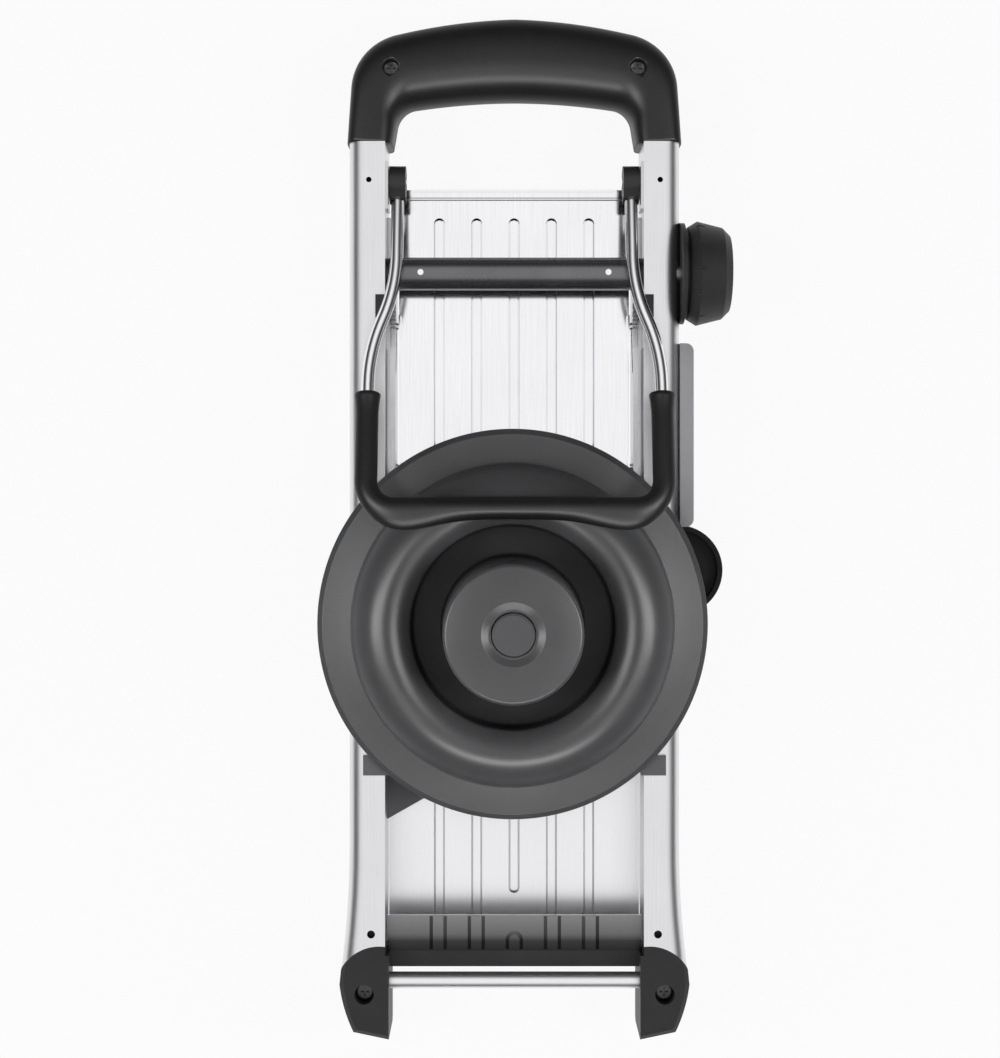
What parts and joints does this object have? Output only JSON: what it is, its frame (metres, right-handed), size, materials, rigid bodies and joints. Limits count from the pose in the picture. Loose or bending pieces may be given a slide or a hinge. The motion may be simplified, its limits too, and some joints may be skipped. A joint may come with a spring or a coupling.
{
  "type": "mandoline slicer",
  "caption": "Folded mandoline slicer seen from its underside: steel rails, ribbed plates, dial, wire leg and stored food holder.",
  "frame": {"origin": "middle of the slicer's box on the plane of the rail tops, on which it lies folded for storage", "axes": "+Y from the feet to the handle, +X towards the dial, +Z out of the underside"},
  "size_m": [0.1651, 0.4115, 0.0807],
  "materials": {
    "brushed_rail": "brushed along the rail",
    "sheet_steel": "satin rolled sheet",
    "bright_steel": "polished",
    "screw_steel": "black oxide",
    "blade_steel": "ground, bevelled edge",
    "slide_steel": "stamped",
    "black_grip": "soft matte",
    "black_plastic": "fine moulded grain",
    "dark_plastic": "moulded",
    "grey_plastic": "moulded",
    "holder_plastic": "satin moulded"
  },
  "bodies": {
    "frame": {"left_rail": "brushed_rail", "right_rail": "brushed_rail", "handle_top_shell": "black_grip", "handle_bottom_shell": "black_grip", "handle_screws": "screw_steel", "left_foot": "black_plastic", "right_foot": "black_plastic", "foot_screws": "screw_steel", "front_tube": "bright_steel", "front_strip": "black_plastic", "landing_plate": "sheet_steel", "left_leg_bracket": "slide_steel", "right_leg_bracket": "slide_steel", "leg_pivot_pins": "bright_steel", "left_shaft_bush": "dark_plastic", "right_shaft_bush": "dark_plastic", "dial_ring": "black_plastic", "legend_plate": "grey_plastic", "blade_bridge": "grey_plastic", "left_slide_guide": "slide_steel", "right_slide_guide": "slide_steel", "guide_rivets": "bright_steel", "left_holder_clip": "grey_plastic", "right_holder_clip": "grey_plastic", "left_leg_rest": "dark_plastic", "right_leg_rest": "dark_plastic"},
    "leg": {"leg_wire": "bright_steel", "leg_sleeve": "black_grip", "left_leg_knuckle": "dark_plastic", "right_leg_knuckle": "dark_plastic"},
    "dial": {"dial_knob": "black_plastic", "adjust_rod": "bright_steel", "adjust_tube": "dark_plastic", "tube_pins": "bright_steel", "left_pinion": "dark_plastic", "right_pinion": "dark_plastic"},
    "left_slide": {"left_lift_slide": "slide_steel"},
    "right_slide": {"right_lift_slide": "slide_steel"},
    "runway": {"runway_plate": "sheet_steel", "runway_pins": "bright_steel"},
    "blade": {"blade_carrier": "grey_plastic", "slicing_blade": "blade_steel", "blade_rivets": "bright_steel", "blade_grip": "black_grip"},
    "holder": {"holder_hat": "holder_plastic", "plunger_spring": "bright_steel"},
    "plunger": {"plunger_button": "holder_plastic", "plunger_rod": "bright_steel", "pusher_plate": "grey_plastic", "holder_prongs": "bright_steel"}
  },
  "joints": [
    {"name": "leg_fold", "type": "hinge", "parent": "frame", "child": "leg", "pos_m": [-0.0038, 0.1386, 0.0213], "axis": [-1, 0, 0], "range_deg": [0, 100]},
    {"name": "dial_turn", "type": "hinge", "parent": "frame", "child": "dial", "pos_m": [-0.0038, 0.1016, 0.0215], "axis": [1, 0, 0], "range_deg": [0, 174]},
    {"name": "left_slide_run", "type": "slide", "parent": "frame", "child": "left_slide", "axis": [0, 1, 0], "range_m": [0, 0.0182]},
    {"name": "right_slide_run", "type": "slide", "parent": "frame", "child": "right_slide", "axis": [0, 1, 0], "range_m": [0, 0.0182]},
    {"name": "runway_lift", "type": "slide", "parent": "frame", "child": "runway", "axis": [0, 0, 1], "range_m": [0, 0.0075]},
    {"name": "blade_pull", "type": "slide", "parent": "frame", "child": "blade", "axis": [0.8704, 0.4924, 0], "range_m": [0, 0.13]},
    {"name": "holder_pull", "type": "slide", "parent": "frame", "child": "holder", "axis": [0, -0.9397, 0.342], "range_m": [0, 0.22]},
    {"name": "plunger_press", "type": "slide", "parent": "holder", "child": "plunger", "axis": [0, 0, 1], "range_m": [0, 0.028], "stiffness_N_per_m": 150, "springref_m": -0.02, "deforming": ["plunger_spring"]}
  ],
  "couplings": [
    {"joint": "left_slide_run", "follows": "runway_lift", "ratio": 2.4},
    {"joint": "right_slide_run", "follows": "runway_lift", "ratio": 2.4},
    {"joint": "dial_turn", "follows": "runway_lift", "rad_per_m": 400}
  ]
}
